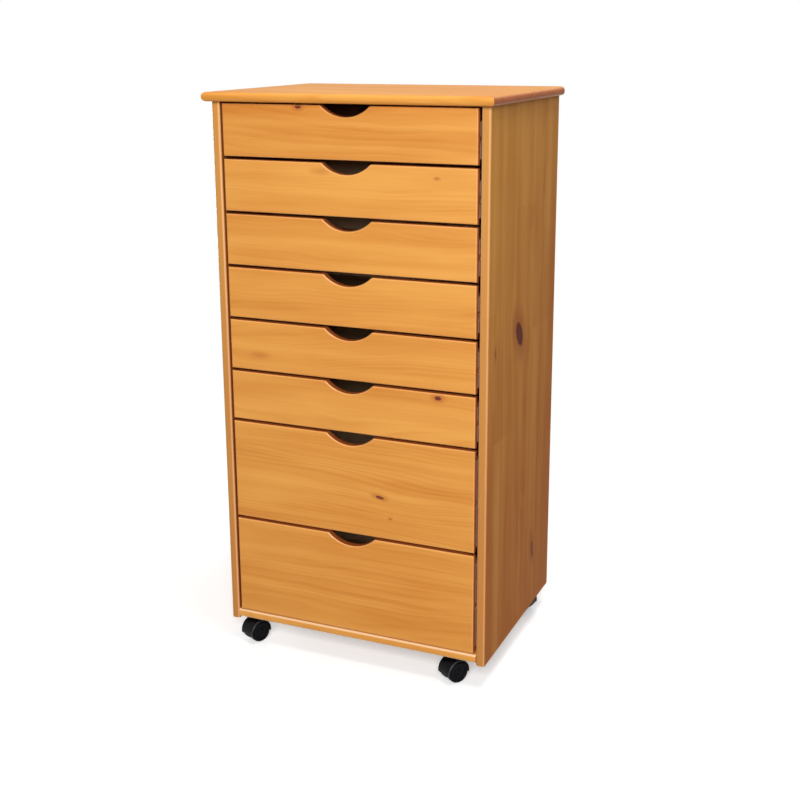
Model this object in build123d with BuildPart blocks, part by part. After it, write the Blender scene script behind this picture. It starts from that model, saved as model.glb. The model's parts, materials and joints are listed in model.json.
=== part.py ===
"""Rolling drawer cart in stained pine.

A board carcass on four twin-wheel casters carries a stack of inset drawers.  Each drawer
hangs on a pair of runner strips and is pulled by a finger notch in its front.

Millimetres, +Z up, the front towards -Y, the origin on the floor below the middle of the top.
"""
import math
import os

from build123d import *

os.makedirs("parts", exist_ok=True)

INCH = 25.4

# How far a cut runs past a face, and how close an edge must be to be picked
overcut = 1.0
near = 0.01

# Overall size of the cart
overall_width = 20.8 * INCH
overall_depth = 15.4 * INCH
overall_height = 40.3 * INCH

# Carcass boards
top_thickness = 16.0
side_thickness = 16.0
bottom_thickness = 16.0
back_thickness = 4.0
top_edge_radius = 7.0
board_edge_radius = 5.0
rounding_limit = 0.47
side_overhang = 10.0
front_overhang = 15.0
side_foot = 3.0
back_inset = 10.0
back_groove_depth = 6.0
back_end_clearance = 0.3
groove_clearance = 0.15

# Drawer stack, from the top down, in height modules
drawer_modules = (1, 1, 1, 1, 1, 1, 2, 2)
front_gap = 5.0
top_gap = 3.0
bottom_gap = 2.0
side_gap = 5.0
drawer_rear_gap = 2.0

# Drawer front
front_thickness = 13.0
front_lip = 9.0
front_edge_radius = 3.0
notch_width = 90.0
notch_depth = 19.0
notch_corner_radius = 3.5

# Drawer box
box_side_thickness = 12.0
box_back_thickness = 12.0
box_back_inset = 10.0
box_bottom_thickness = 4.0
box_top_drop = 22.0
box_bottom_rise = 9.0
box_bottom_inset = 6.0
box_groove_depth = 5.0
box_groove_end_clearance = 0.3
box_dado_depth = 3.0

# Runner strips
runner_height = 12.0
runner_groove_depth = 6.0
runner_end_clearance = 0.5
runner_clearance = 0.3
runner_setback = 26.0
runner_rear_gap = 6.0
runner_screw_inset = 45.0
runner_lead = 2.0

# Countersunk screws
screw_hole_clearance = 0.1
screw_rim = 0.3
runner_screw_radius = 1.75
runner_screw_head_radius = 3.6
runner_screw_bite = 10.0
plate_screw_radius = 1.7
plate_screw_head_radius = 3.2
plate_screw_length = 13.0
screw_slot_width = 0.9
screw_slot_depth = 1.1
screw_slot_share = 0.6
pilot_spare = 1.0

# Cam fittings and dowels that draw the boards together
cam_front_inset = 85.0
cam_rear_inset = 100.0
cam_reach = 24.0
cam_radius = 7.5
cam_depth = 12.5
cam_clearance = 0.1
cam_floor = 1.5
cam_slot_width = 1.2
cam_slot_depth = 1.5
bolt_bore_radius = 4.0
bolt_thread_radius = 2.5
bolt_thread_length = 11.0
bolt_collar_length = 1.5
bolt_shaft_radius = 3.0
bolt_neck_radius = 2.0
bolt_neck_length = 4.0
bolt_head_radius = 3.4
bolt_head_length = 5.0
bolt_chamfer = 1.0
bolt_clearance = 0.1
dowel_radius = 4.0
dowel_length = 30.0
dowel_chamfer = 1.0
dowel_face_depth = 10.0
dowel_end_clearance = 0.5
dowel_clearance = 0.05
dowel_offset = 32.0

# Casters
caster_height = 46.0
caster_front_inset = 29.0
caster_rear_inset = 42.0
caster_side_inset = 52.0
caster_trail = 18.0
plate_size = 38.0
plate_thickness = 2.0
plate_corner_radius = 5.0
plate_hole_pitch = 28.0
kingpin_radius = 3.0
kingpin_length = 17.0
kingpin_clearance = 0.05
kingpin_end_clearance = 1.0
swivel_clearance = 0.5
wheel_radius = 20.0
wheel_width = 11.5
wheel_inner_edge_radius = 1.5
wheel_outer_edge_radius = 4.0
wheel_side_clearance = 0.6
wheel_recess_depth = 6.0
wheel_rim_thickness = 4.0
wheel_hub_radius = 6.0
wheel_dish_radius = 14.0
wheel_dish_depth = 1.0
axle_radius = 2.5
axle_clearance = 0.05
axle_engagement = 8.5
axle_end_clearance = 0.3
hood_clearance = 1.0
hood_wall = 2.0
hood_lip_angle = 10.0
hood_side_margin = 2.0
hood_edge_radius = 0.8
web_thickness = 11.0
web_radius = 15.0
boss_depth = 24.0
collar_radius = 9.0
collar_depth = 3.5

# Turn of each caster about its kingpin, where zero trails straight to the front
front_left_turn = -24.0
front_right_turn = -33.0
rear_left_turn = -35.0
rear_right_turn = 78.0

# Planes and levels that the boards share
front_plane = front_overhang - overall_depth / 2
rear_plane = overall_depth / 2
outer_half = overall_width / 2 - side_overhang
inner_half = outer_half - side_thickness
top_under = overall_height - top_thickness
bottom_under = caster_height
bottom_upper = bottom_under + bottom_thickness
side_lower = bottom_under - side_foot
back_rear = rear_plane - back_inset
back_mid_y = back_rear - back_thickness / 2
back_front = back_rear - back_thickness
back_slot = back_thickness + 2 * groove_clearance

# Drawer levels
stack_height = top_under - bottom_upper - top_gap - bottom_gap + front_gap
module_pitch = stack_height / sum(drawer_modules)
front_half = inner_half - side_gap
box_inner_half = front_half - box_side_thickness
front_rear = front_plane + front_thickness
lip_rear = front_plane + front_lip
box_rear = back_front - drawer_rear_gap
box_back_rear = box_rear - box_back_inset
box_back_front = box_back_rear - box_back_thickness
box_bottom_slot = box_bottom_thickness + 2 * groove_clearance

# Each drawer as its number, the foot of its front and the height of its front
drawers = []
level = top_under - top_gap
for number, modules in enumerate(drawer_modules, start=1):
    height = modules * module_pitch - front_gap
    drawers.append((number, level - height, height))
    level = level - height - front_gap

# Runner strips: reach from the carcass side into the drawer groove
runner_reach = side_gap + runner_groove_depth - runner_end_clearance
runner_front = front_plane + runner_setback
runner_rear = back_front - runner_rear_gap
runner_screw_y = (runner_front + runner_screw_inset, runner_rear - runner_screw_inset)
runner_screw_length = runner_reach + runner_screw_bite


def box_foot(foot):
    """Lower edge of a drawer's box above the foot of its front."""
    return foot + box_bottom_rise


def box_height(height):
    """Height of the box sides behind a front of the given height."""
    return height - box_top_drop - box_bottom_rise


runner_levels = [box_foot(foot) + box_height(height) / 2 for _, foot, height in drawers]

# Rows of fittings along the depth of the carcass
cam_y = (front_plane + cam_front_inset, rear_plane - cam_rear_inset)
dowel_y = (cam_y[0] + dowel_offset, cam_y[1] - dowel_offset)
dowel_edge_depth = dowel_length - dowel_face_depth + dowel_end_clearance
side_mid = inner_half + side_thickness / 2
bottom_mid_z = bottom_under + bottom_thickness / 2

# Caster stations as name, place on the floor and turn
caster_x = outer_half - caster_side_inset
caster_front_y = front_plane + caster_front_inset
caster_rear_y = rear_plane - caster_rear_inset
casters = (
    ("front_left", (-caster_x, caster_front_y), front_left_turn),
    ("front_right", (caster_x, caster_front_y), front_right_turn),
    ("rear_left", (-caster_x, caster_rear_y), rear_left_turn),
    ("rear_right", (caster_x, caster_rear_y), rear_right_turn),
)
plate_holes = [
    (i * plate_hole_pitch / 2, j * plate_hole_pitch / 2) for i in (-1, 1) for j in (-1, 1)
]


SUNK = (Align.CENTER, Align.CENTER, Align.MAX)


def keep(builder, label):
    """Label a finished piece and write it to its own file."""
    builder.part.label = label
    export_step(builder.part, f"parts/{label}.step")


def slab(x0, x1, y0, y1, z0, z1, mode=Mode.ADD):
    """Box between two corners, in the block that is open."""
    with Locations(((x0 + x1) / 2, (y0 + y1) / 2, (z0 + z1) / 2)):
        Box(x1 - x0, y1 - y0, z1 - z0, mode=mode)


def bore(plane, radius, depth):
    """Round hole sunk from the origin of a plane against its normal."""
    with Locations(plane):
        Cylinder(radius, depth, align=SUNK, mode=Mode.SUBTRACT)


def facing(x, y, z, normal):
    """Plane at a point with the given outward normal."""
    return Plane(origin=(x, y, z), z_dir=normal)


# Top board with rounded left, right and front edges and a groove for the back
with BuildPart() as top_panel:
    slab(-overall_width / 2, overall_width / 2, -overall_depth / 2, rear_plane,
         top_under, overall_height)
    level_faces = top_panel.faces().filter_by(Axis.Z)
    show_edges = [edge for edge in level_faces.edges() if edge.center().Y < rear_plane - near]
    fillet(show_edges, radius=min(top_edge_radius, rounding_limit * top_thickness))
    slab(-inner_half - back_groove_depth, inner_half + back_groove_depth,
         back_mid_y - back_slot / 2, back_mid_y + back_slot / 2,
         top_under, top_under + back_groove_depth, mode=Mode.SUBTRACT)
    for side in (-1, 1):
        for y in cam_y:
            bore(facing(side * side_mid, y, top_under, (0, 0, -1)),
                 bolt_thread_radius + bolt_clearance, bolt_thread_length + bolt_clearance)
        for y in dowel_y:
            bore(facing(side * side_mid, y, top_under, (0, 0, -1)),
                 dowel_radius + dowel_clearance, dowel_face_depth + dowel_end_clearance)
keep(top_panel, "top_panel")

# Side boards, alike but for the hand
for name, side in (("left", -1), ("right", 1)):
    inward = (-side, 0, 0)
    with BuildPart() as side_panel:
        slab(side * side_mid - side_thickness / 2, side * side_mid + side_thickness / 2,
             front_plane, rear_plane, side_lower, top_under)
        front_edges = side_panel.edges().filter_by(Axis.Z).group_by(Axis.Y)[0]
        fillet(front_edges, radius=min(board_edge_radius, rounding_limit * side_thickness))
        groove_x = sorted((side * (inner_half - overcut), side * (inner_half + back_groove_depth)))
        slab(groove_x[0], groove_x[1], back_mid_y - back_slot / 2, back_mid_y + back_slot / 2,
             bottom_upper - back_groove_depth, top_under, mode=Mode.SUBTRACT)
        for y in cam_y:
            bore(facing(side * inner_half, y, top_under - cam_reach, inward),
                 cam_radius + cam_clearance, cam_depth + cam_clearance)
            bore(facing(side * side_mid, y, top_under, (0, 0, 1)), bolt_bore_radius, cam_reach)
            bore(facing(side * inner_half, y, bottom_mid_z, inward),
                 bolt_thread_radius + bolt_clearance, bolt_thread_length + bolt_clearance)
        for y in dowel_y:
            bore(facing(side * side_mid, y, top_under, (0, 0, 1)),
                 dowel_radius + dowel_clearance, dowel_edge_depth)
            bore(facing(side * inner_half, y, bottom_mid_z, inward),
                 dowel_radius + dowel_clearance, dowel_face_depth + dowel_end_clearance)
        for z in runner_levels:
            for y in runner_screw_y:
                bore(facing(side * inner_half, y, z, inward),
                     runner_screw_radius + screw_hole_clearance, runner_screw_bite + pilot_spare)
    keep(side_panel, f"{name}_side_panel")

# Bottom board between the sides, its front edge rounded
with BuildPart() as bottom_panel:
    slab(-inner_half, inner_half, front_plane, rear_plane, bottom_under, bottom_upper)
    front_edges = bottom_panel.edges().filter_by(Axis.X).group_by(Axis.Y)[0]
    fillet(front_edges, radius=min(board_edge_radius, rounding_limit * bottom_thickness))
    slab(-inner_half, inner_half, back_mid_y - back_slot / 2, back_mid_y + back_slot / 2,
         bottom_upper - back_groove_depth, bottom_upper, mode=Mode.SUBTRACT)
    for side in (-1, 1):
        outward = (side, 0, 0)
        for y in cam_y:
            bore(facing(side * (inner_half - cam_reach), y, bottom_under, (0, 0, -1)),
                 cam_radius + cam_clearance, cam_depth + cam_clearance)
            bore(facing(side * inner_half, y, bottom_mid_z, outward), bolt_bore_radius, cam_reach)
        for y in dowel_y:
            bore(facing(side * inner_half, y, bottom_mid_z, outward),
                 dowel_radius + dowel_clearance, dowel_edge_depth)
    for _, (x, y), _ in casters:
        for dx, dy in plate_holes:
            bore(facing(x + dx, y + dy, bottom_under, (0, 0, -1)),
                 plate_screw_radius + screw_hole_clearance,
                 plate_screw_length - plate_thickness + pilot_spare)
keep(bottom_panel, "bottom_panel")

# Thin back board held in grooves on all four sides
back_reach = back_groove_depth - back_end_clearance
with BuildPart() as back_panel:
    slab(-inner_half - back_reach, inner_half + back_reach, back_front, back_rear,
         bottom_upper - back_reach, top_under + back_reach)
keep(back_panel, "back_panel")


def screw_solid(radius, head_radius, length):
    """Countersunk screw along +Z with its flat head at the origin and its point upward."""
    with BuildPart() as screw:
        with BuildSketch(Plane.XZ):
            with BuildLine():
                Polyline((0, 0), (head_radius, 0), (head_radius, screw_rim),
                         (radius, screw_rim + head_radius - radius), (radius, length - 2 * radius),
                         (0, length), close=True)
            make_face()
        revolve(axis=Axis.Z)
        for turn in (0, 90):
            with Locations(Location((0, 0, screw_slot_depth / 2), (0, 0, turn))):
                Box(2 * screw_slot_share * head_radius, screw_slot_width, screw_slot_depth,
                    mode=Mode.SUBTRACT)
    return screw.part


def screw_sink(plane, radius, head_radius, depth):
    """Countersunk through hole sunk from the origin of a plane against its normal."""
    hole = radius + screw_hole_clearance
    mouth = head_radius + screw_hole_clearance
    bore(plane, hole, depth)
    bore(plane, mouth, screw_rim)
    with Locations(plane.offset(-screw_rim)):
        Cone(hole, mouth, mouth - hole, align=SUNK, mode=Mode.SUBTRACT)


# Runner strips on both sides, with a lead-in at the front end
with BuildPart() as drawer_runners:
    for side in (-1, 1):
        for z in runner_levels:
            x = sorted((side * inner_half, side * (inner_half - runner_reach)))
            slab(x[0], x[1], runner_front, runner_rear, z - runner_height / 2, z + runner_height / 2)
    lead_edges = drawer_runners.edges().filter_by(Axis.X).group_by(Axis.Y)[0]
    chamfer(lead_edges, length=runner_lead)
    for side in (-1, 1):
        for z in runner_levels:
            for y in runner_screw_y:
                face = facing(side * (inner_half - runner_reach), y, z, (-side, 0, 0))
                screw_sink(face, runner_screw_radius, runner_screw_head_radius, runner_reach)
keep(drawer_runners, "drawer_runners")

# Screws through the runner strips into the side boards
runner_screw = screw_solid(runner_screw_radius, runner_screw_head_radius, runner_screw_length)
runner_screw_places = [
    Location((side * (inner_half - runner_reach), y, z), (0, side * 90, 0))
    for side in (-1, 1)
    for z in runner_levels
    for y in runner_screw_y
]
with BuildPart() as runner_screws:
    with Locations(*runner_screw_places):
        add(runner_screw)
keep(runner_screws, "runner_screws")

# Bolt of a cam fitting, its thread below the origin and its head above
bolt_tip = cam_reach + bolt_head_length / 2
bolt_shoulder = cam_reach - bolt_head_length / 2
with BuildPart() as bolt_form:
    with BuildSketch(Plane.XZ):
        with BuildLine():
            Polyline((0, -bolt_thread_length), (bolt_thread_radius, -bolt_thread_length),
                     (bolt_thread_radius, 0), (bolt_bore_radius - bolt_clearance, 0),
                     (bolt_bore_radius - bolt_clearance, bolt_collar_length),
                     (bolt_shaft_radius, bolt_collar_length),
                     (bolt_shaft_radius, bolt_shoulder - bolt_neck_length),
                     (bolt_neck_radius, bolt_shoulder - bolt_neck_length + bolt_chamfer),
                     (bolt_neck_radius, bolt_shoulder), (bolt_head_radius, bolt_shoulder),
                     (bolt_head_radius, bolt_tip - bolt_chamfer),
                     (bolt_head_radius - bolt_chamfer, bolt_tip),
                     (0, bolt_tip), close=True)
        make_face()
    revolve(axis=Axis.Z)

# Cam drum, its slotted face at the origin and its body upward; the bolt comes in along -X
bolt_level = side_thickness / 2
cam_pocket = bolt_head_radius + bolt_clearance
cam_throat = bolt_neck_radius + bolt_clearance
pocket_half = bolt_head_length / 2 + bolt_clearance
with BuildPart() as cam_form:
    Cylinder(cam_radius, cam_depth, align=(Align.CENTER, Align.CENTER, Align.MIN))
    slab(-pocket_half, pocket_half, -cam_pocket, cam_pocket,
         bolt_level - cam_pocket, cam_depth, mode=Mode.SUBTRACT)
    slab(-cam_radius, 0, -cam_throat, cam_throat, bolt_level - cam_throat, cam_depth, mode=Mode.SUBTRACT)
    slab(-cam_radius, -pocket_half - cam_floor, -bolt_shaft_radius - bolt_clearance,
         bolt_shaft_radius + bolt_clearance, bolt_level - bolt_shaft_radius - bolt_clearance,
         cam_depth, mode=Mode.SUBTRACT)
    for turn in (45, 135):
        with Locations(Location((0, 0, cam_slot_depth / 2), (0, 0, turn))):
            Box(cam_radius, cam_slot_width, cam_slot_depth, mode=Mode.SUBTRACT)

bolt_places = []
cam_places = []
for side in (-1, 1):
    for y in cam_y:
        bolt_places.append(Plane(origin=(side * side_mid, y, top_under), z_dir=(0, 0, -1)).location)
        cam_places.append(Plane(origin=(side * inner_half, y, top_under - cam_reach),
                                x_dir=(0, 0, -1), z_dir=(side, 0, 0)).location)
        bolt_places.append(Plane(origin=(side * inner_half, y, bottom_mid_z), z_dir=(-side, 0, 0)).location)
        cam_places.append(Plane(origin=(side * (inner_half - cam_reach), y, bottom_under),
                                x_dir=(-side, 0, 0), z_dir=(0, 0, 1)).location)
with BuildPart() as cam_bolts:
    with Locations(*bolt_places):
        add(bolt_form.part)
keep(cam_bolts, "cam_bolts")
with BuildPart() as cam_locks:
    with Locations(*cam_places):
        add(cam_form.part)
keep(cam_locks, "cam_locks")

# Fluted dowels beside the cam fittings, drawn plain
with BuildPart() as dowel_form:
    with Locations((0, 0, dowel_length / 2 - dowel_face_depth)):
        Cylinder(dowel_radius, dowel_length)
    chamfer(dowel_form.edges().filter_by(GeomType.CIRCLE), length=dowel_chamfer)
dowel_places = []
for side in (-1, 1):
    for y in dowel_y:
        dowel_places.append(Plane(origin=(side * side_mid, y, top_under), z_dir=(0, 0, -1)).location)
        dowel_places.append(Plane(origin=(side * inner_half, y, bottom_mid_z), z_dir=(-side, 0, 0)).location)
with BuildPart() as carcass_dowels:
    with Locations(*dowel_places):
        add(dowel_form.part)
keep(carcass_dowels, "carcass_dowels")

# Drawers: notched front, two grooved sides, back and a thin bottom
notch_radius = (notch_width ** 2 / 4 + notch_depth ** 2) / (2 * notch_depth)
bottom_reach = box_groove_depth - box_groove_end_clearance
for number, foot, height in drawers:
    crest = foot + height
    box_low = box_foot(foot)
    box_high = box_low + box_height(height)
    slot_low = box_low + box_bottom_inset
    slot_high = slot_low + box_bottom_slot
    board_low = slot_low + groove_clearance
    board_high = board_low + box_bottom_thickness
    groove_mid = (box_low + box_high) / 2
    groove_half = runner_height / 2 + runner_clearance

    with BuildPart() as drawer_front:
        with BuildSketch(Plane.XZ.offset(-front_rear)):
            with Locations((0, foot + height / 2)):
                Rectangle(2 * front_half, height)
            with Locations((0, crest - notch_depth + notch_radius)):
                Circle(notch_radius, mode=Mode.SUBTRACT)
            notch_ends = [v for v in vertices() if abs(abs(v.X) - notch_width / 2) < near]
            fillet(notch_ends, radius=notch_corner_radius)
        extrude(amount=front_thickness)
        face_edges = drawer_front.faces().sort_by(Axis.Y)[0].edges()
        fillet(face_edges, radius=front_edge_radius)
        for side in (-1, 1):
            x = sorted((side * box_inner_half, side * (front_half + overcut)))
            slab(x[0], x[1], lip_rear, front_rear, foot, crest, mode=Mode.SUBTRACT)
        slab(-box_inner_half - box_groove_depth, box_inner_half + box_groove_depth,
             front_rear - box_groove_depth, front_rear, slot_low, slot_high, mode=Mode.SUBTRACT)
    keep(drawer_front, f"drawer_{number}_front")

    with BuildPart() as drawer_sides:
        for side in (-1, 1):
            x = sorted((side * box_inner_half, side * front_half))
            slab(x[0], x[1], lip_rear, box_rear, box_low, box_high)
            x = sorted((side * (front_half - runner_groove_depth), side * (front_half + overcut)))
            slab(x[0], x[1], lip_rear, box_rear, groove_mid - groove_half, groove_mid + groove_half,
                 mode=Mode.SUBTRACT)
            x = sorted((side * (box_inner_half - overcut), side * (box_inner_half + box_groove_depth)))
            slab(x[0], x[1], lip_rear, box_rear, slot_low, slot_high, mode=Mode.SUBTRACT)
            x = sorted((side * (box_inner_half - overcut), side * (box_inner_half + box_dado_depth)))
            slab(x[0], x[1], box_back_front, box_back_rear, board_high, box_high, mode=Mode.SUBTRACT)
    keep(drawer_sides, f"drawer_{number}_sides")

    with BuildPart() as drawer_back:
        slab(-box_inner_half - box_dado_depth, box_inner_half + box_dado_depth,
             box_back_front, box_back_rear, board_high, box_high)
    keep(drawer_back, f"drawer_{number}_back")

    with BuildPart() as drawer_bottom:
        slab(-box_inner_half - bottom_reach, box_inner_half + bottom_reach,
             front_rear - bottom_reach, box_back_rear, board_low, board_high)
    keep(drawer_bottom, f"drawer_{number}_bottom")

# Caster plates with their riveted kingpins
plate_under = bottom_under - plate_thickness
with BuildPart() as caster_plates:
    for _, (x, y), _ in casters:
        with BuildSketch(facing(x, y, plate_under, (0, 0, 1))):
            RectangleRounded(plate_size, plate_size, plate_corner_radius)
        extrude(amount=plate_thickness)
        with BuildSketch(facing(x, y, plate_under, (0, 0, -1))):
            Circle(kingpin_radius)
        extrude(amount=kingpin_length)
        for dx, dy in plate_holes:
            screw_sink(facing(x + dx, y + dy, plate_under, (0, 0, -1)),
                       plate_screw_radius, plate_screw_head_radius, plate_thickness)
keep(caster_plates, "caster_plates")

# Screws through the plates into the bottom board
plate_screw = screw_solid(plate_screw_radius, plate_screw_head_radius, plate_screw_length)
plate_screw_places = [
    Location((x + dx, y + dy, plate_under)) for _, (x, y), _ in casters for dx, dy in plate_holes
]
with BuildPart() as caster_screws:
    with Locations(*plate_screw_places):
        add(plate_screw)
keep(caster_screws, "caster_screws")

# Hood of one caster about its kingpin, the axle trailing to -Y
axle_y = -caster_trail
axle_z = wheel_radius
hood_top = plate_under - swivel_clearance
hood_inner = wheel_radius + hood_clearance
hood_outer = hood_inner + hood_wall
wheel_inner_x = web_thickness / 2 + wheel_side_clearance
wheel_outer_x = wheel_inner_x + wheel_width
hood_half = wheel_outer_x - hood_side_margin
axle_plane = Plane(origin=(0, axle_y, axle_z), x_dir=(0, 1, 0), z_dir=(1, 0, 0))
lip = math.radians(hood_lip_angle)
lip_reach = 2 * hood_outer
lip_drop = lip_reach * math.tan(lip)


def cut_below_lips():
    """Take away the part of a sketch under the two lips of the hood."""
    Polygon((0, 0), (-lip_reach, -lip_drop), (-lip_reach, -lip_reach - lip_drop),
            (lip_reach, -lip_reach - lip_drop), (lip_reach, -lip_drop),
            align=None, mode=Mode.SUBTRACT)


with BuildPart() as hood_form:
    with BuildSketch(axle_plane.offset(-hood_half)):
        Circle(hood_outer)
        Circle(hood_inner, mode=Mode.SUBTRACT)
        cut_below_lips()
    extrude(amount=2 * hood_half)
    with BuildSketch(axle_plane.offset(-web_thickness / 2)):
        Circle(hood_inner + hood_wall / 2)
        cut_below_lips()
        Circle(web_radius)
    extrude(amount=web_thickness)
    with BuildSketch(Plane.XY.offset(hood_top - boss_depth)):
        Circle(web_thickness / 2)
    extrude(amount=boss_depth)
    with BuildSketch(Plane.XY.offset(hood_top - collar_depth)):
        Circle(collar_radius)
    extrude(amount=collar_depth)
    bore(facing(0, 0, hood_top, (0, 0, 1)), kingpin_radius + kingpin_clearance,
         kingpin_length - swivel_clearance + kingpin_end_clearance)
    with BuildSketch(axle_plane.offset(-web_thickness)):
        Circle(axle_radius + axle_clearance)
    extrude(amount=2 * web_thickness, mode=Mode.SUBTRACT)
    rim_edges = [e for e in hood_form.edges().filter_by(GeomType.CIRCLE)
                 if abs(e.radius - hood_outer) < near and abs(abs(e.center().X) - hood_half) < near]
    fillet(rim_edges, radius=min(hood_edge_radius, rounding_limit * hood_wall))

# Wheel along +X with its inner face at the origin, cupped inside and dished outside
bore_radius = axle_radius + axle_clearance
bore_depth = axle_engagement + axle_end_clearance
rim_inner = wheel_radius - wheel_rim_thickness
with BuildPart() as wheel_form:
    with BuildSketch(Plane.XY):
        with BuildLine():
            Polyline((0, bore_radius), (0, wheel_hub_radius), (wheel_recess_depth, wheel_hub_radius),
                     (wheel_recess_depth, rim_inner), (0, rim_inner), (0, wheel_radius),
                     (wheel_width, wheel_radius), (wheel_width, wheel_dish_radius),
                     (wheel_width - wheel_dish_depth, wheel_dish_radius - wheel_dish_depth),
                     (wheel_width - wheel_dish_depth, wheel_hub_radius + wheel_dish_depth),
                     (wheel_width, wheel_hub_radius), (wheel_width, 0), (bore_depth, 0),
                     (bore_depth, bore_radius), close=True)
        make_face()
    revolve(axis=Axis.X)
    for place, radius in ((0, wheel_inner_edge_radius), (-1, wheel_outer_edge_radius)):
        rings = wheel_form.edges().filter_by(GeomType.CIRCLE).sort_by(Axis.X)
        tread_edges = [ring for ring in rings if abs(ring.radius - wheel_radius) < near]
        fillet(tread_edges[place], radius=radius)

# Place a hood, an axle and two wheels at each caster station
axle_half = wheel_inner_x + axle_engagement
for name, (x, y), turn in casters:
    station = Location((x, y, 0), (0, 0, turn))

    with BuildPart() as caster_hood:
        with Locations(station):
            add(hood_form.part)
    keep(caster_hood, f"{name}_caster_hood")

    with BuildPart() as caster_axle:
        with Locations(station * Location((0, axle_y, axle_z), (0, 90, 0))):
            Cylinder(axle_radius, 2 * axle_half)
    keep(caster_axle, f"{name}_caster_axle")

    for hand, side in (("left", -1), ("right", 1)):
        wheel_turn = 0 if side > 0 else 180
        with BuildPart() as caster_wheel:
            with Locations(station * Location((side * wheel_inner_x, axle_y, axle_z), (0, 0, wheel_turn))):
                add(wheel_form.part)
        keep(caster_wheel, f"{name}_{hand}_wheel")
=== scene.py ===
# %% [markdown]
# A tall rolling cart in honey-stained pine: a board carcass, a stack of inset drawers with
# curved finger notches, and four black twin-wheel casters. The solids already have the real
# sizes and joints, so this lesson gives them their looks. It loads the solids as a fixed frame,
# builds the wood, metal and plastic from shader nodes, models finer caster wheels and hood rims,
# and ends with the light and the camera.

# %% Load the frame
import json
import math
from collections import namedtuple

import bpy
from mathutils import Euler, Matrix, Vector

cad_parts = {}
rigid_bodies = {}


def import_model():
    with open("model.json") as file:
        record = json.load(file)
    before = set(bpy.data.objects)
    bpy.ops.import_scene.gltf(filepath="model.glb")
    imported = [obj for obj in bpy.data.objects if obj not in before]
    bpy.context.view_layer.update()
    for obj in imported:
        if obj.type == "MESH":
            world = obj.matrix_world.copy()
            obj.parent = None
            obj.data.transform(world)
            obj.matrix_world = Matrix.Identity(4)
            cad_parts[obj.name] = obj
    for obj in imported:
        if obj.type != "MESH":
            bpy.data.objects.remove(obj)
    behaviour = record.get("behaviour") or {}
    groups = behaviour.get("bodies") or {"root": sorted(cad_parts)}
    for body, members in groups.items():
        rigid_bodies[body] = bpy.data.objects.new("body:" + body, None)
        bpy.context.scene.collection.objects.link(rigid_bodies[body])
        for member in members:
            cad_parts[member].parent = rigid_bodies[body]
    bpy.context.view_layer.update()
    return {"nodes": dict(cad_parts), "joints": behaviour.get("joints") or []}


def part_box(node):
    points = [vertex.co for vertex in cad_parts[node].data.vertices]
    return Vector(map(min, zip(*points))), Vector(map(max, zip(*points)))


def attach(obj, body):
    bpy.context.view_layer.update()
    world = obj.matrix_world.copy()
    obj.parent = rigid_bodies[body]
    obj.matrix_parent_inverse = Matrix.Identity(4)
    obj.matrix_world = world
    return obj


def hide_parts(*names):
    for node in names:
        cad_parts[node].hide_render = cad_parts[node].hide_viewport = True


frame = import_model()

nodes = frame["nodes"]
print("pieces in the frame:", len(nodes))

# %% [markdown]
# Every finish is a node tree. A few helpers keep the trees short: one starts a material, one adds
# a node and feeds its inputs in order, others do arithmetic, blend colours, make noise and raise the
# surface. An input is either linked to another node's output or set to a plain value on its own socket.

# %% Helpers for shader nodes
def start_finish(name):
    """A new material, its node tree and its Principled shader."""
    material = bpy.data.materials.new(name)
    material.use_nodes = True
    tree = material.node_tree
    return material, tree, tree.nodes["Principled BSDF"]


def feed(tree, socket, value):
    """Link a socket to an output, or set it to a plain value."""
    if isinstance(value, bpy.types.NodeSocket):
        tree.links.new(value, socket)
    else:
        socket.default_value = value


def put(tree, kind, *values, **settings):
    """Add a node, apply its settings, feed its inputs in order and return it."""
    node = tree.nodes.new(kind)
    for key, setting in settings.items():
        setattr(node, key, setting)
    for socket, value in zip(node.inputs, values):
        if value is not None:
            feed(tree, socket, value)
    return node


def calc(tree, operation, *values):
    """One arithmetic step."""
    return put(tree, "ShaderNodeMath", *values, operation=operation).outputs[0]


def centred(tree, value, span):
    """A value from none to one, spread over a span with its middle at nought."""
    return calc(tree, "MULTIPLY_ADD", value, span, -0.5 * span)


def stretch(tree, value, low, high, to_low, to_high):
    """Map a value smoothly from one range to another."""
    node = put(tree, "ShaderNodeMapRange", value, low, high, to_low, to_high,
               interpolation_type="SMOOTHSTEP")
    return node.outputs[0]


def blend(tree, share, first, second, how="MIX"):
    """Blend two colours by a share."""
    node = tree.nodes.new("ShaderNodeMix")
    node.data_type = "RGBA"
    node.blend_type = how
    feed(tree, node.inputs[0], share)
    feed(tree, node.inputs[6], first)
    feed(tree, node.inputs[7], second)
    return node.outputs[2]


def vector(tree, x, y, z):
    """Three numbers as one vector."""
    return put(tree, "ShaderNodeCombineXYZ", x, y, z).outputs[0]


def scaled(tree, place, x, y, z):
    """A place stretched by its own factor on each axis."""
    return put(tree, "ShaderNodeVectorMath", place, (x, y, z), operation="MULTIPLY").outputs[0]


def cloud(tree, place, detail=2.0, roughness=0.5):
    """Soft noise in a space that is already scaled; gives the grey and the colour output."""
    node = tree.nodes.new("ShaderNodeTexNoise")
    feed(tree, node.inputs["Vector"], place)
    node.inputs["Scale"].default_value = 1.0
    node.inputs["Detail"].default_value = detail
    node.inputs["Roughness"].default_value = roughness
    return node.outputs[0], node.outputs[1]


def add_relief(tree, shader, height, strength, distance):
    """Let a height lift the surface by up to a distance in metres."""
    bump = put(tree, "ShaderNodeBump")
    bump.inputs["Strength"].default_value = strength
    bump.inputs["Distance"].default_value = distance
    feed(tree, bump.inputs["Height"], height)
    feed(tree, shader.inputs["Normal"], bump.outputs["Normal"])


print("shader helpers ready")

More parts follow.
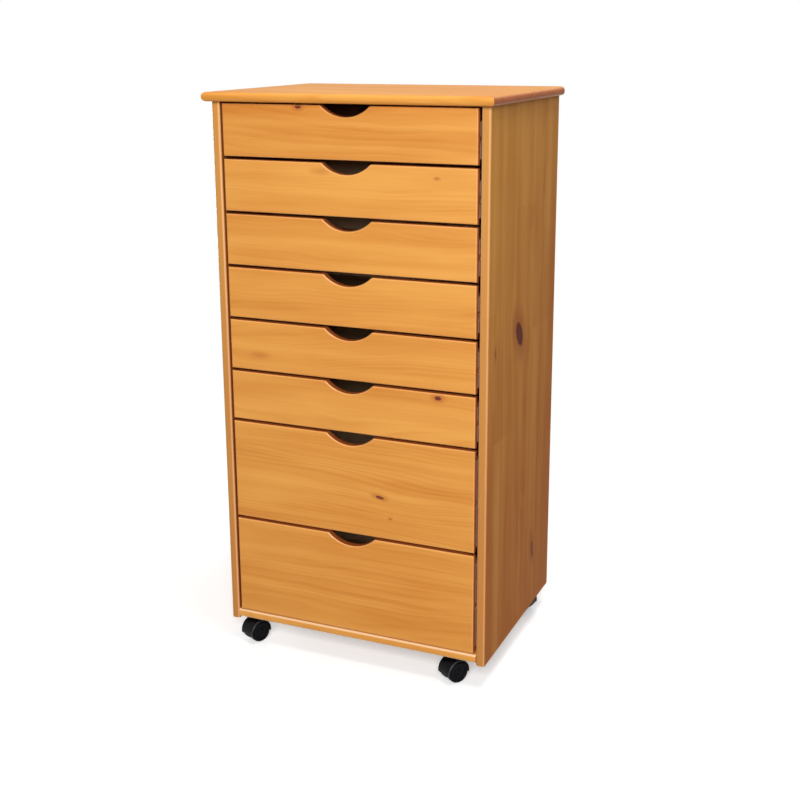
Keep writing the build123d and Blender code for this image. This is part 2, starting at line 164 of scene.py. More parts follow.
# %% [markdown]
# Wood is a solid, so its figure should run through a board and come out on every face. Each board
# therefore gets its own axes: along the grain, across the face and through the thickness. The
# numbers are metres of object space, so a ring gap can be written as it would be measured. The
# surface normal tells two more things: end grain faces along the board, and a rounded edge faces
# squarely along no axis at all.

# %% Axes of a board
AXIS = {"X": 0, "Y": 1, "Z": 2}
END_GRAIN = (0.55, 0.95)
END_SHARE = 0.9
ROUNDED = (0.80, 0.99)


def board_axes(tree, order):
    """Coordinates along, across and through a board, the shares of end grain and rounding, and the normal."""
    coordinates = tree.nodes.new("ShaderNodeTexCoord")
    place = put(tree, "ShaderNodeSeparateXYZ", coordinates.outputs["Object"]).outputs
    facing = put(tree, "ShaderNodeSeparateXYZ", coordinates.outputs["Normal"]).outputs
    along, across, through = (place[AXIS[letter]] for letter in order)
    sizes = [calc(tree, "ABSOLUTE", facing[AXIS[letter]]) for letter in order]
    largest = calc(tree, "MAXIMUM", calc(tree, "MAXIMUM", sizes[0], sizes[1]), sizes[2])
    end = stretch(tree, sizes[0], *END_GRAIN, 0.0, END_SHARE)
    rounding = stretch(tree, largest, *ROUNDED, 1.0, 0.0)
    return along, across, through, end, rounding, [facing[AXIS[letter]] for letter in order]


def grain_space(tree, along, across, through, lengthwise, crosswise, shift=0.0):
    """Coordinates scaled one way along the grain and another way across it, for noise that follows it."""
    return vector(tree, calc(tree, "MULTIPLY_ADD", along, lengthwise, shift),
                  calc(tree, "MULTIPLY", across, crosswise),
                  calc(tree, "MULTIPLY", through, crosswise))


print("board axes ready")

# %% [markdown]
# Pine shows knots where a branch grew: a dark reddish oval, a red halo, and grain that flows round
# it. A knot is placed by its middle and its half sizes along and across the grain, and a branch that
# left the trunk at a slant gives it a lean. Squeezing the cross coordinate towards the knot's middle
# is what makes the rings bulge round it. Edges and reach are counted in half sizes of the knot, and a
# weak knot keeps more of its halo than of its core.

# %% Knots
Knot = namedtuple("Knot", "along across half_along half_across strength lean", defaults=(0.0,))
KNOT_CORE = (0.150, 0.027, 0.014, 1.0)
KNOT_RIM = (0.130, 0.016, 0.005, 1.0)
KNOT_HALO = (0.43, 0.105, 0.018, 1.0)
CORE_EDGE = (0.75, 1.15)
RIM_EDGE = (0.25, 0.9)
HALO_EDGE = (0.8, 3.2)
HALO_SHARE = 0.6
RAGGED_SPACE = (160.0, 300.0)
RAGGED_SPAN = 0.4
GRAIN_REACH = 4.5
GRAIN_PULL = 0.85


def knot_fields(tree, along, across, knots):
    """The bent cross coordinate, and the shares of core, rim and halo of all the knots."""
    bent = across
    shares = [0.0, 0.0, 0.0]
    ragged = cloud(tree, grain_space(tree, along, across, 0.0, *RAGGED_SPACE))[0]
    for knot in knots:
        off_along = calc(tree, "SUBTRACT", along, knot.along)
        off_across = calc(tree, "SUBTRACT", across, knot.across)
        slant = calc(tree, "MULTIPLY_ADD", off_along, knot.lean, off_across)
        reach = vector(tree, calc(tree, "DIVIDE", off_along, knot.half_along),
                       calc(tree, "DIVIDE", slant, knot.half_across), 0.0)
        distance = put(tree, "ShaderNodeVectorMath", reach, operation="LENGTH").outputs["Value"]
        distance = calc(tree, "ADD", distance, centred(tree, ragged, RAGGED_SPAN))
        pull = stretch(tree, distance, 0.0, GRAIN_REACH, GRAIN_PULL, 0.0)
        bent = calc(tree, "SUBTRACT", bent, calc(tree, "MULTIPLY", slant, pull))
        core = stretch(tree, distance, *CORE_EDGE, knot.strength ** 2, 0.0)
        rim = calc(tree, "MULTIPLY", core, stretch(tree, distance, *RIM_EDGE, 0.0, knot.strength))
        halo = stretch(tree, distance, *HALO_EDGE, HALO_SHARE * knot.strength ** 0.5, 0.0)
        shares = [calc(tree, "MAXIMUM", old, new) for old, new in zip(shares, (core, rim, halo))]
    return bent, shares


print("knot fields ready")

# %% [markdown]
# Wide panels are glued up from staves, and long staves from shorter lengths, so tone and figure jump
# at straight lines. The row across the panel and the length along it give two whole numbers, and
# white noise turns the pair into one random number for that piece of wood. A single board is simply
# one very wide stave.

# %% Staves
Panel = namedtuple("Panel", "width start length butt contrast")
ONE_BOARD = Panel(width=8.0, start=-4.0, length=8.0, butt=-4.0, contrast=0.0)
ROW_STEP = 0.37


def stave_luck(tree, along, across, panel):
    """A random number for each glued piece; the joints of the next row are shifted along."""
    from_start = calc(tree, "SUBTRACT", across, panel.start)
    row = calc(tree, "FLOOR", calc(tree, "DIVIDE", from_start, panel.width))
    from_butt = calc(tree, "DIVIDE", calc(tree, "SUBTRACT", along, panel.butt), panel.length)
    piece = calc(tree, "FLOOR", calc(tree, "MULTIPLY_ADD", row, ROW_STEP, from_butt))
    dice = put(tree, "ShaderNodeTexWhiteNoise", vector(tree, row, piece, 0.0), noise_dimensions="2D")
    return dice.outputs["Value"]


print("staves ready")

# %% [markdown]
# Growth rings are circles round the middle of the trunk, cut by the face of the board. The distance
# from that middle, divided by the ring gap, counts rings; its fraction goes through a ramp that
# rises slowly for the soft early wood and drops at once after the hard late wood. The trunk's
# middle leans a little along the board and slow noise wobbles it, which gives long arches instead
# of ruled lines. Stain hides some of the figure, so more slow noise lets the lines fade in and out.

# %% Growth rings
STAVE_SHIFT = 40.0
WOBBLE_SPACE = (2.4, 9.0)
FADE_SPACE = (2.0, 17.0)
MIDDLE_LUCK = 0.08
MIDDLE_WOBBLE = 0.06
DEPTH_WOBBLE = 0.04
UNEVEN_SCALE = 45.0
UNEVEN_RINGS = 4.5
EARLY_WOOD = (0.05, 0.05, 0.05, 1.0)
LATE_WOOD = ((0.40, 0.20), (0.74, 0.75), (0.86, 1.0))
SHOWS = (0.36, 0.66)
FAINTEST = 0.12


def growth_rings(tree, along, across, through, trunk, lean, ring_gap, luck):
    """The share of late wood, from none to one."""
    shift = calc(tree, "MULTIPLY", luck, STAVE_SHIFT)
    slow = cloud(tree, grain_space(tree, along, across, through, *WOBBLE_SPACE, shift))[1]
    wobble = put(tree, "ShaderNodeSeparateXYZ", slow).outputs
    middle = calc(tree, "MULTIPLY_ADD", along, lean, trunk[0])
    middle = calc(tree, "ADD", middle, centred(tree, luck, MIDDLE_LUCK))
    middle = calc(tree, "ADD", middle, centred(tree, wobble[0], MIDDLE_WOBBLE))
    depth = calc(tree, "MULTIPLY_ADD", wobble[1], DEPTH_WOBBLE, trunk[1] - 0.5 * DEPTH_WOBBLE)
    from_trunk = vector(tree, calc(tree, "SUBTRACT", across, middle),
                        calc(tree, "SUBTRACT", through, depth), 0.0)
    radius = put(tree, "ShaderNodeVectorMath", from_trunk, operation="LENGTH").outputs["Value"]
    outwards = calc(tree, "MULTIPLY", radius, UNEVEN_SCALE)
    uneven = cloud(tree, vector(tree, outwards, luck, 0.0), detail=3.0)[0]
    count = calc(tree, "MULTIPLY_ADD", uneven, UNEVEN_RINGS, calc(tree, "DIVIDE", radius, ring_gap))
    ramp = put(tree, "ShaderNodeValToRGB", calc(tree, "FRACT", count))
    stops = ramp.color_ramp.elements
    stops[0].color = EARLY_WOOD
    stops[1].color = EARLY_WOOD
    for position, level in LATE_WOOD:
        stops.new(position).color = (level, level, level, 1.0)
    shows = cloud(tree, grain_space(tree, along, across, through, *FADE_SPACE, shift))[0]
    fade = stretch(tree, shows, *SHOWS, FAINTEST, 1.0)
    return calc(tree, "MULTIPLY", ramp.outputs["Color"], fade)


print("growth rings ready")

# %% [markdown]
# The finish itself mixes a pale and a deep tone of the stain. Late wood, broad bands along the grain,
# fine fibre streaks, slow cloudy patches where the stain soaked in, and the luck of the stave all
# push the mix one way or the other. End grain drinks more stain and turns red. The inner faces of the
# side boards are painted dark, a painted shade for the narrow gaps beside the fronts. An edge that
# faces across the grain takes a tone of its own on the front edges of the sides, and a dark red
# painted shade on the upper edges of the drawer fronts. Rounded edges come out paler, partly because
# they are sanded thin and partly as a painted highlight, with a coat of lacquer that shines. Fibres
# and rings lift the surface by a few hundredths of a millimetre.

# %% Wood finish
Tones = namedtuple("Tones", "pale deep end edge")
EdgeToneAndShade = namedtuple("EdgeToneAndShade", "side share tone")
END_RING = (0.62, 0.52, 0.46, 1.0)
# A dark tone painted on the inside faces of the side boards as shade for the narrow gaps.
INNER_FACE_SHADE = (0.26, 0.060, 0.014, 1.0)
INNER_FACING = (0.90, 0.99)
INNER_SHADE_SHARE = 0.85
SAWN_FACING = (0.35, 0.70)
SAWN_SQUARE = (0.20, 0.60)
FIBRE_SPACE = (14.0, 620.0)
BAND_SPACE = (1.3, 46.0)
PATCH_SPACE = (4.0, 20.0)
FIBRE_WEIGHT = 0.45
BAND_WEIGHT = 1.05
PATCH_WEIGHT = 0.95
ROUND_SHINE = -0.12
FIBRE_ROUGHNESS = 0.16
LACQUER_ROUGHNESS = 0.42
RING_RELIEF = 0.35


def weigh(tree, base, *terms):
    """Add weighted values to a number; a value of one half adds nothing."""
    total = base
    for value, weight in terms:
        total = calc(tree, "ADD", total, centred(tree, value, weight))
    return total


def wood_finish(name, order, tones, trunk, lean=0.03, ring_gap=0.0055, figure=0.3, depth=0.0,
                drift=0.0, panel=ONE_BOARD, knots=(), wear_and_highlight=0.5, roughness=0.46, gloss=0.3, lacquer=0.0,
                inside=0.0, edge_tone_and_shade=None):
    """Material for one board; depth moves it towards its deep tone, drift does so along the grain.

    The face towards inside, plus or minus the through axis, takes a dark painted shade.
    The edge that faces across the grain may take a tone of its own; on the drawer fronts it is a dark painted
    shade.
    """
    material, tree, shader = start_finish(name)
    along, across, through, end, rounding, facing = board_axes(tree, order)
    bent, (core, rim, halo) = knot_fields(tree, along, across, knots)
    luck = stave_luck(tree, along, across, panel)
    late = growth_rings(tree, along, bent, through, trunk, lean, ring_gap, luck)
    fibre = cloud(tree, grain_space(tree, along, bent, through, *FIBRE_SPACE), detail=3.0)[0]
    band = cloud(tree, grain_space(tree, along, bent, through, *BAND_SPACE), detail=1.0)[0]
    patch = cloud(tree, grain_space(tree, along, bent, through, *PATCH_SPACE))[0]
    share = weigh(tree, 0.5 + depth, (late, figure), (band, BAND_WEIGHT), (patch, PATCH_WEIGHT),
                  (fibre, FIBRE_WEIGHT), (luck, panel.contrast), (along, drift))
    colour = blend(tree, put(tree, "ShaderNodeClamp", share).outputs[0], tones.pale, tones.deep)
    if knots:
        colour = blend(tree, halo, colour, KNOT_HALO)
        colour = blend(tree, core, colour, KNOT_CORE)
        colour = blend(tree, rim, colour, KNOT_RIM)
    # Inner faces are painted dark: a painted shade for the narrow gaps beside the fronts.
    if inside:
        inward = calc(tree, "MULTIPLY", facing[2], inside)
        painted_shade = stretch(tree, inward, *INNER_FACING, 0.0, INNER_SHADE_SHARE)
        colour = blend(tree, painted_shade, colour, INNER_FACE_SHADE)
    cut = blend(tree, late, tones.end, END_RING, how="MULTIPLY")
    # Rounded edges take the paler edge tone: partly wear, partly a painted highlight.
    colour = blend(tree, calc(tree, "MULTIPLY", rounding, wear_and_highlight), colour, tones.edge)
    colour = blend(tree, end, colour, cut)
    # An edge facing across the grain takes its own tone; on the drawer fronts it is a dark red painted shade.
    if edge_tone_and_shade:
        sideways = calc(tree, "MULTIPLY", facing[1], edge_tone_and_shade.side)
        outward = stretch(tree, sideways, *SAWN_FACING, 0.0, edge_tone_and_shade.share)
        square = stretch(tree, calc(tree, "ABSOLUTE", facing[2]), *SAWN_SQUARE, 1.0, 0.0)
        colour = blend(tree, calc(tree, "MULTIPLY", outward, square), colour, edge_tone_and_shade.tone)
    feed(tree, shader.inputs["Base Color"], colour)
    satin = calc(tree, "MULTIPLY_ADD", rounding, ROUND_SHINE, roughness)
    feed(tree, shader.inputs["Roughness"], weigh(tree, satin, (fibre, FIBRE_ROUGHNESS)))
    shader.inputs["Specular IOR Level"].default_value = gloss
    if lacquer:
        feed(tree, shader.inputs["Coat Weight"], calc(tree, "MULTIPLY", rounding, lacquer))
        shader.inputs["Coat Roughness"].default_value = LACQUER_ROUGHNESS
    height = calc(tree, "MULTIPLY_ADD", late, RING_RELIEF, fibre)
    add_relief(tree, shader, height, strength=0.18, distance=0.0004)
    return material


def dress(material, *names):
    """Put a material on CAD nodes."""
    for name in names:
        nodes[name].material_slots[0].material = material


print("wood finish ready")

# %% [markdown]
# The drawer fronts are stained pine with the grain running across the cart. Each front is another
# board, so each has its own trunk middle, lean and tone. Its upper edge and the walls of its notch
# are painted a dark red, a painted shade that draws a dark red line in the gaps between the fronts.
# Knots sit where the real cart shows them: one cut by the top edge of the first front, one near the
# top of the sixth, one in the seventh, and fainter marks on the second, fifth and seventh.

# %% Drawer fronts
# The edge tone of the stain is paler than the faces: partly wear, partly a painted highlight.
STAIN = Tones(pale=(0.80, 0.365, 0.075, 1.0), deep=(0.60, 0.205, 0.026, 1.0),
              end=(0.58, 0.160, 0.050, 1.0), edge=(0.87, 0.430, 0.140, 1.0))
# A dark red painted shade on the upper edges and notch walls of the fronts, where the gaps lie in shadow.
SHADED_UPPER_EDGE = EdgeToneAndShade(side=1.0, share=0.85, tone=(0.30, 0.050, 0.010, 1.0))
front_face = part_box("drawer_1_front")[0].y
front_boards = {
    1: dict(heart=0.030, cut=0.050, lean=-0.05, depth=-0.16, drift=-0.5, ring_gap=0.011,
            knots=(Knot(-0.086, 1.0015, 0.0055, 0.0036, 1.0),)),
    2: dict(heart=-0.110, cut=0.060, lean=0.02, depth=-0.13, ring_gap=0.0050,
            knots=(Knot(-0.0456, 0.8957, 0.010, 0.0030, 0.25), Knot(0.1635, 0.8918, 0.003, 0.0016, 0.5))),
    3: dict(heart=0.090, cut=0.070, lean=-0.03, depth=0.04, ring_gap=0.0065),
    4: dict(heart=-0.095, cut=0.055, lean=0.025, depth=-0.02, ring_gap=0.0050),
    5: dict(heart=0.080, cut=0.075, lean=0.03, depth=-0.04, ring_gap=0.0065,
            knots=(Knot(-0.175, 0.5654, 0.010, 0.0030, 0.25),)),
    6: dict(heart=-0.070, cut=0.060, lean=-0.02, depth=-0.12, ring_gap=0.0055,
            knots=(Knot(0.1662, 0.5235, 0.0060, 0.0036, 1.0),)),
    7: dict(heart=0.120, cut=0.080, lean=-0.03, depth=0.0, ring_gap=0.0065,
            knots=(Knot(0.057, 0.3300, 0.0078, 0.0028, 0.93, 0.16),
                   Knot(0.0767, 0.2927, 0.0025, 0.0016, 0.55))),
    8: dict(heart=-0.130, cut=0.085, lean=0.03, depth=0.05, ring_gap=0.0070),
}
for number, board in front_boards.items():
    node = f"drawer_{number}_front"
    low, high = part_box(node)
    looks = dict(board)
    trunk = (0.5 * (low.z + high.z) + looks.pop("heart"), front_face + looks.pop("cut"))
    finish = wood_finish(f"stained_front_{number}", "XZY", STAIN, trunk, figure=0.31, lacquer=0.8,
                         edge_tone_and_shade=SHADED_UPPER_EDGE, **looks)
    dress(finish, node)
print("stained drawer fronts:", len(front_boards))

# %% [markdown]
# The carcass boards are glued up from staves about a hand wide. The sides stand with the grain
# upright and the top and bottom lie with it across. The right side has a large dark knot half way
# up, a small one near its front edge, a faint one lower down, and a joint beside the large knot, and
# the sides turn deeper and redder towards the bottom. The rounded front edges of the sides and the
# bottom are paler, partly from wear and partly as a painted highlight, the flat of a side's front edge
# has a tone of its own, and the inside faces of the sides are painted dark as shade. The flat sides
# and the top are duller than the fronts, so they keep their colour at a glancing view.

# %% Carcass boards
# These edge tones are paler still: partly wear, partly a painted highlight on the rounded edges of the bottom
# and the sides.
THIN_STAIN_AND_HIGHLIGHT = STAIN._replace(edge=(0.91, 0.63, 0.38, 1.0))
RED_STAIN = STAIN._replace(deep=(0.575, 0.172, 0.020, 1.0), edge=(0.88, 0.52, 0.27, 1.0))
FRONT_EDGE = EdgeToneAndShade(side=-1.0, share=0.75, tone=(0.57, 0.265, 0.075, 1.0))
right_knots = (Knot(0.606, -0.0145, 0.023, 0.0165, 1.0, 0.42),
               Knot(0.158, 0.0890, 0.019, 0.0075, 0.72, 0.2),
               Knot(0.600, -0.1430, 0.008, 0.0030, 0.6))
left_knots = (Knot(0.742, 0.0650, 0.016, 0.0120, 0.95, -0.2),
              Knot(0.335, -0.0900, 0.019, 0.0140, 0.85, 0.15))
upright = Panel(width=0.104, start=0.060, length=0.62, butt=0.600, contrast=0.42)
level = Panel(width=0.098, start=0.040, length=0.47, butt=0.110, contrast=0.25)
# The sides grow deeper and redder in tone towards the bottom.
upright_look = dict(tones=RED_STAIN, panel=upright, depth=0.18, drift=-1.0, gloss=0.02, edge_tone_and_shade=FRONT_EDGE)
side_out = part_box("right_side_panel")[1].x
top_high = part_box("top_panel")[1]
bottom_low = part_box("bottom_panel")[0]
carcass_boards = {
    "right_side_panel": ("ZYX", (0.02, side_out - 0.07),
                         dict(knots=right_knots, inside=-1.0, wear_and_highlight=0.5, lacquer=0.7, **upright_look)),
    "left_side_panel": ("ZYX", (-0.05, 0.07 - side_out),
                        dict(knots=left_knots, inside=1.0, wear_and_highlight=0.6, **upright_look)),
    "top_panel": ("XYZ", (0.03, top_high.z - 0.08), dict(panel=level, gloss=0.05, wear_and_highlight=0.12, lacquer=0.2)),
    "bottom_panel": ("XYZ", (-0.04, bottom_low.z - 0.05),
                     dict(panel=level, depth=-0.05, tones=THIN_STAIN_AND_HIGHLIGHT, wear_and_highlight=1.0)),
}
for node, (order, trunk, extra) in carcass_boards.items():
    looks = dict(tones=STAIN, lean=0.035, ring_gap=0.0065, figure=0.38, lacquer=1.0) | extra
    dress(wood_finish(f"stained_{node}", order, trunk=trunk, **looks), node)
print("stained carcass boards:", sorted(carcass_boards))

# %% [markdown]
# The drawer boxes, runners and dowels are plain sanded wood, left without stain, so they are pale and
# dull. The same wood function serves with other tones and a rougher surface.

# %% Raw wood inside
PINE = Tones(pale=(0.80, 0.54, 0.34, 1.0), deep=(0.64, 0.36, 0.20, 1.0),
             end=(0.56, 0.32, 0.17, 1.0), edge=(0.82, 0.60, 0.40, 1.0))
PLY = Tones(pale=(0.66, 0.43, 0.23, 1.0), deep=(0.50, 0.28, 0.125, 1.0),
            end=(0.40, 0.22, 0.10, 1.0), edge=(0.66, 0.45, 0.26, 1.0))
raw = dict(roughness=0.68, gloss=0.2)
box_staves = Panel(width=0.0945, start=0.0, length=8.0, butt=-4.0, contrast=0.3)
side_wood = wood_finish("raw_pine_sides", "YZX", PINE, (0.3, 0.0), ring_gap=0.005, figure=0.4,
                        panel=box_staves, **raw)
back_wood = wood_finish("raw_pine_backs", "XZY", PINE, (0.3, 0.10), ring_gap=0.005, figure=0.4,
                        panel=box_staves, **raw)
runner_wood = wood_finish("raw_pine_runners", "YZX", PINE, (0.3, 0.0), ring_gap=0.003, figure=0.35,
                          depth=0.2, **raw)
dowel_wood = wood_finish("beech_dowels", "ZYX", PINE, (0.1, 0.0), ring_gap=0.003, figure=0.2, **raw)
ply = wood_finish("drawer_bottom_ply", "XYZ", PLY, (0.02, -0.6), lean=0.02, ring_gap=0.0035, figure=0.45,
                  roughness=0.6)
back_ply = wood_finish("back_board_ply", "ZXY", PLY, (0.04, -0.9), lean=0.03, ring_gap=0.0025, figure=0.45,
                       roughness=0.6)
drawer_numbers = sorted(front_boards)
dress(side_wood, *(f"drawer_{n}_sides" for n in drawer_numbers))
dress(back_wood, *(f"drawer_{n}_back" for n in drawer_numbers))
dress(ply, *(f"drawer_{n}_bottom" for n in drawer_numbers))
dress(runner_wood, "drawer_runners")
dress(dowel_wood, "carcass_dowels")
dress(back_ply, "back_panel")
print("raw wood on drawer boxes, runners, dowels and back")

# %% [markdown]
# Screws, bolts, plates and axles are zinc-plated steel: a bright grey metal with a faint cloudy
# bloom from the plating and fine polishing marks. The cam drums are die-cast and duller.

# %% Metal
BLOOM_SCALE = (260.0, 260.0, 260.0)
MARK_SCALE = (900.0, 2600.0, 900.0)


def plated_metal(name, bright, dull, smooth, rough):
    """Metal whose tone and roughness drift between two values."""
    material, tree, shader = start_finish(name)
    place = tree.nodes.new("ShaderNodeTexCoord").outputs["Object"]
    bloom = cloud(tree, scaled(tree, place, *BLOOM_SCALE))[0]
    marks = cloud(tree, scaled(tree, place, *MARK_SCALE))[0]
    feed(tree, shader.inputs["Base Color"], blend(tree, bloom, bright, dull))
    shader.inputs["Metallic"].default_value = 1.0
    feed(tree, shader.inputs["Roughness"], calc(tree, "MULTIPLY_ADD", marks, rough - smooth, smooth))
    add_relief(tree, shader, marks, strength=0.1, distance=0.0001)
    return material


zinc = plated_metal("zinc_plated_steel", (0.72, 0.72, 0.71, 1.0), (0.52, 0.53, 0.55, 1.0), 0.25, 0.5)
die_cast = plated_metal("die_cast_zinc", (0.50, 0.50, 0.49, 1.0), (0.36, 0.36, 0.37, 1.0), 0.45, 0.7)
casters = ("front_left", "front_right", "rear_left", "rear_right")
dress(zinc, "cam_bolts", "runner_screws", "caster_screws", "caster_plates")
dress(zinc, *(f"{c}_caster_axle" for c in casters))
dress(die_cast, "cam_locks")
print("metal on fittings and axles")

# %% [markdown]
# The casters are moulded in black plastic. The hoods have a fine spark-eroded texture, their rims are
# smooth and glossy, and the wheels are duller, with pale scuffs where they have met the floor.

# %% Black plastic
BLACK = (0.0018, 0.0020, 0.0032, 1.0)
SCUFFED = (0.016, 0.016, 0.020, 1.0)
SCUFF_SCALE = (170.0, 170.0, 420.0)
SCUFF_EDGE = (0.56, 0.74)
SCUFF_ROUGHNESS = 0.3


def moulded_plastic(name, tone, wear_and_highlight, roughness, scuff, grain, gloss):
    """Black moulding with a fine skin and scattered scuffs."""
    material, tree, shader = start_finish(name)
    place = tree.nodes.new("ShaderNodeTexCoord").outputs["Object"]
    skin = cloud(tree, scaled(tree, place, grain, grain, grain), detail=1.0)[0]
    marks = cloud(tree, scaled(tree, place, *SCUFF_SCALE), detail=4.0, roughness=0.65)[0]
    worn_share = stretch(tree, marks, *SCUFF_EDGE, 0.0, scuff)
    feed(tree, shader.inputs["Base Color"], blend(tree, worn_share, tone, wear_and_highlight))
    feed(tree, shader.inputs["Roughness"],
         calc(tree, "MULTIPLY_ADD", worn_share, SCUFF_ROUGHNESS, roughness))
    shader.inputs["Specular IOR Level"].default_value = gloss
    add_relief(tree, shader, skin, strength=0.25, distance=0.0001)
    return material


hood_plastic = moulded_plastic("black_hood_plastic", BLACK, SCUFFED,
                               roughness=0.32, scuff=0.3, grain=2600.0, gloss=0.09)
rim_plastic = moulded_plastic("black_rim_plastic", BLACK, SCUFFED,
                              roughness=0.33, scuff=0.2, grain=2600.0, gloss=0.42)
wheel_plastic = moulded_plastic("black_wheel_plastic", BLACK, (0.018, 0.018, 0.019, 1.0),
                                roughness=0.42, scuff=0.5, grain=1800.0, gloss=0.06)
dress(hood_plastic, *(f"{caster}_caster_hood" for caster in casters))
print("black plastic on hoods:", len(casters))

# %% [markdown]
# A moulded wheel has more in it than the plain solid shows: a rounded shoulder, a sunk ring and a hub
# cap outside, and ribs inside. It could be one profile turned about the axle, but ribs don't turn, so
# it starts from a cylinder and is worked like clay: inset a face, push it in, extrude every so many
# faces into ribs, and round the rings that the floor and the light will find. The helpers below put a
# primitive down alone and select faces or edges by a rule on their place.

# %% Helpers for modelling
def lay_down(name, add, size=(1.0, 1.0, 1.0), **settings):
    """Add a primitive by itself, fix its place into its mesh and open it for editing."""
    bpy.ops.object.select_all(action="DESELECT")
    add(**settings)
    piece = bpy.context.object
    piece.name = name
    piece.scale = size
    bpy.ops.object.transform_apply(location=True, rotation=True, scale=True)
    bpy.ops.object.mode_set(mode="EDIT")
    return piece


def pick(piece, kind, rule):
    """Select the corners, edges or faces of a piece for which a rule holds."""
    bpy.ops.mesh.select_mode(type=kind)
    bpy.ops.mesh.select_all(action="DESELECT")
    bpy.ops.object.mode_set(mode="OBJECT")
    mesh = piece.data
    parts = {"VERT": mesh.vertices, "EDGE": mesh.edges, "FACE": mesh.polygons}[kind]
    for part in parts:
        part.select = rule(part)
    bpy.ops.object.mode_set(mode="EDIT")


def finish_piece(piece, width, segments):
    """Close the edit, break the sharp edges and smooth the rest."""
    bpy.ops.mesh.select_all(action="SELECT")
    bpy.ops.mesh.remove_doubles(threshold=1e-6)
    bpy.ops.mesh.normals_make_consistent(inside=False)
    bpy.ops.object.mode_set(mode="OBJECT")
    soften = piece.modifiers.new("broken_edges", "BEVEL")
    soften.width = width
    soften.segments = segments
    soften.limit_method = "ANGLE"
    soften.angle_limit = math.radians(40.0)
    bpy.ops.object.modifier_apply(modifier=soften.name)
    bpy.ops.object.shade_smooth_by_angle(angle=math.radians(35.0))


NEAR = 1e-5
SQUARE_ON = 0.9
FULL_TURN = math.radians(360.0)


def from_axle(place):
    """Distance of a point from the X axis."""
    return math.hypot(place[1], place[2])


print("modelling helpers ready")

# %% [markdown]
# The size of the wheel is read from the solid that it replaces: every wheel turns on a joint, and the
# joint gives the middle and the direction of its axle. Inside faces minus X and outside faces plus X.

# %% Caster wheel
spins = {joint["child"]: joint for joint in frame["joints"] if joint["name"].endswith("_spin")}


def reach_along_axle(node):
    """Lowest and highest place of a node along its axle, measured from the joint."""
    joint = spins[node]
    middle = Vector(joint["pos_m"])
    axis = Vector(joint["axis"])
    reach = [axis.dot(corner.co - middle) for corner in nodes[node].data.vertices]
    return min(reach), max(reach)


start, stop = reach_along_axle("front_right_right_wheel")
WHEEL_WIDTH = stop - start
WHEEL_RADIUS = spins["front_right_right_wheel"]["pos_m"][2]
HUB_RADIUS = 0.0060
RIM_INSIDE = 0.0160
CUP_DEPTH = 0.0060
BORE_RADIUS = 0.00256
BORE_DEPTH = 0.0088
RIB_COUNT = 9
RIB_SINK = 0.0008
FACETS = 72
CUP_MARGIN = 0.001
OUTSIDE_RINGS = ((0.0046, 0.0), (0.0009, -0.0011), (0.0068, 0.0), (0.0009, 0.0011), (0.0034, 0.0003))
OUTER_SHOULDER = 0.0040
INNER_SHOULDER = 0.0015

wheel = lay_down("caster_wheel", bpy.ops.mesh.primitive_cylinder_add, vertices=FACETS, radius=WHEEL_RADIUS,
                 depth=WHEEL_WIDTH, location=(0.5 * WHEEL_WIDTH, 0.0, 0.0),
                 rotation=(0.0, math.radians(90.0), 0.0))
pick(wheel, "FACE", lambda face: face.normal.x > SQUARE_ON)
for narrower, raised in OUTSIDE_RINGS:
    bpy.ops.mesh.inset(thickness=narrower, depth=raised)
pick(wheel, "FACE", lambda face: face.normal.x < -SQUARE_ON)
bpy.ops.mesh.inset(thickness=WHEEL_RADIUS - RIM_INSIDE)
bpy.ops.mesh.inset(thickness=RIM_INSIDE - HUB_RADIUS)
bpy.ops.mesh.inset(thickness=HUB_RADIUS - BORE_RADIUS)
bpy.ops.mesh.extrude_region_move(TRANSFORM_OT_translate={"value": (BORE_DEPTH, 0.0, 0.0)})
middle_of_cup = 0.5 * (HUB_RADIUS + RIM_INSIDE)


def in_cup(face):
    """True for the faces between hub and rim on the inside."""
    return face.normal.x < -SQUARE_ON and abs(from_axle(face.center) - middle_of_cup) < CUP_MARGIN


def is_rib(face):
    """True for every few faces round the floor of the cup."""
    turn = math.atan2(face.center.z, face.center.y) % FULL_TURN
    facet = int(turn / FULL_TURN * FACETS)
    return in_cup(face) and facet % (FACETS // RIB_COUNT) == 0


pick(wheel, "FACE", in_cup)
bpy.ops.mesh.extrude_region_move(TRANSFORM_OT_translate={"value": (CUP_DEPTH, 0.0, 0.0)})
pick(wheel, "FACE", is_rib)
bpy.ops.mesh.extrude_region_move(TRANSFORM_OT_translate={"value": (RIB_SINK - CUP_DEPTH, 0.0, 0.0)})


def round_shoulder(place, radius, segments):
    """Round the ring of the tread that lies at a place along the axle."""
    def on_tread(corner):
        return abs(corner.x - place) < NEAR and from_axle(corner) > WHEEL_RADIUS - NEAR

    def on_ring(edge):
        return all(on_tread(wheel.data.vertices[index].co) for index in edge.vertices)

    pick(wheel, "EDGE", on_ring)
    bpy.ops.mesh.bevel(offset=radius, segments=segments, affect="EDGES")


round_shoulder(WHEEL_WIDTH, OUTER_SHOULDER, 6)
round_shoulder(0.0, INNER_SHOULDER, 3)
finish_piece(wheel, 0.0003, 2)
print("caster wheel faces:", len(wheel.data.polygons))

# %% [markdown]
# The hood ends in a rounded rim that catches a thin line of light. The rim is a small rounded section
# swept round the axle from lip to lip with the spin tool, which keeps the section square to the path.
# The tool turns clockwise about its axis here, so the axis points to minus X.

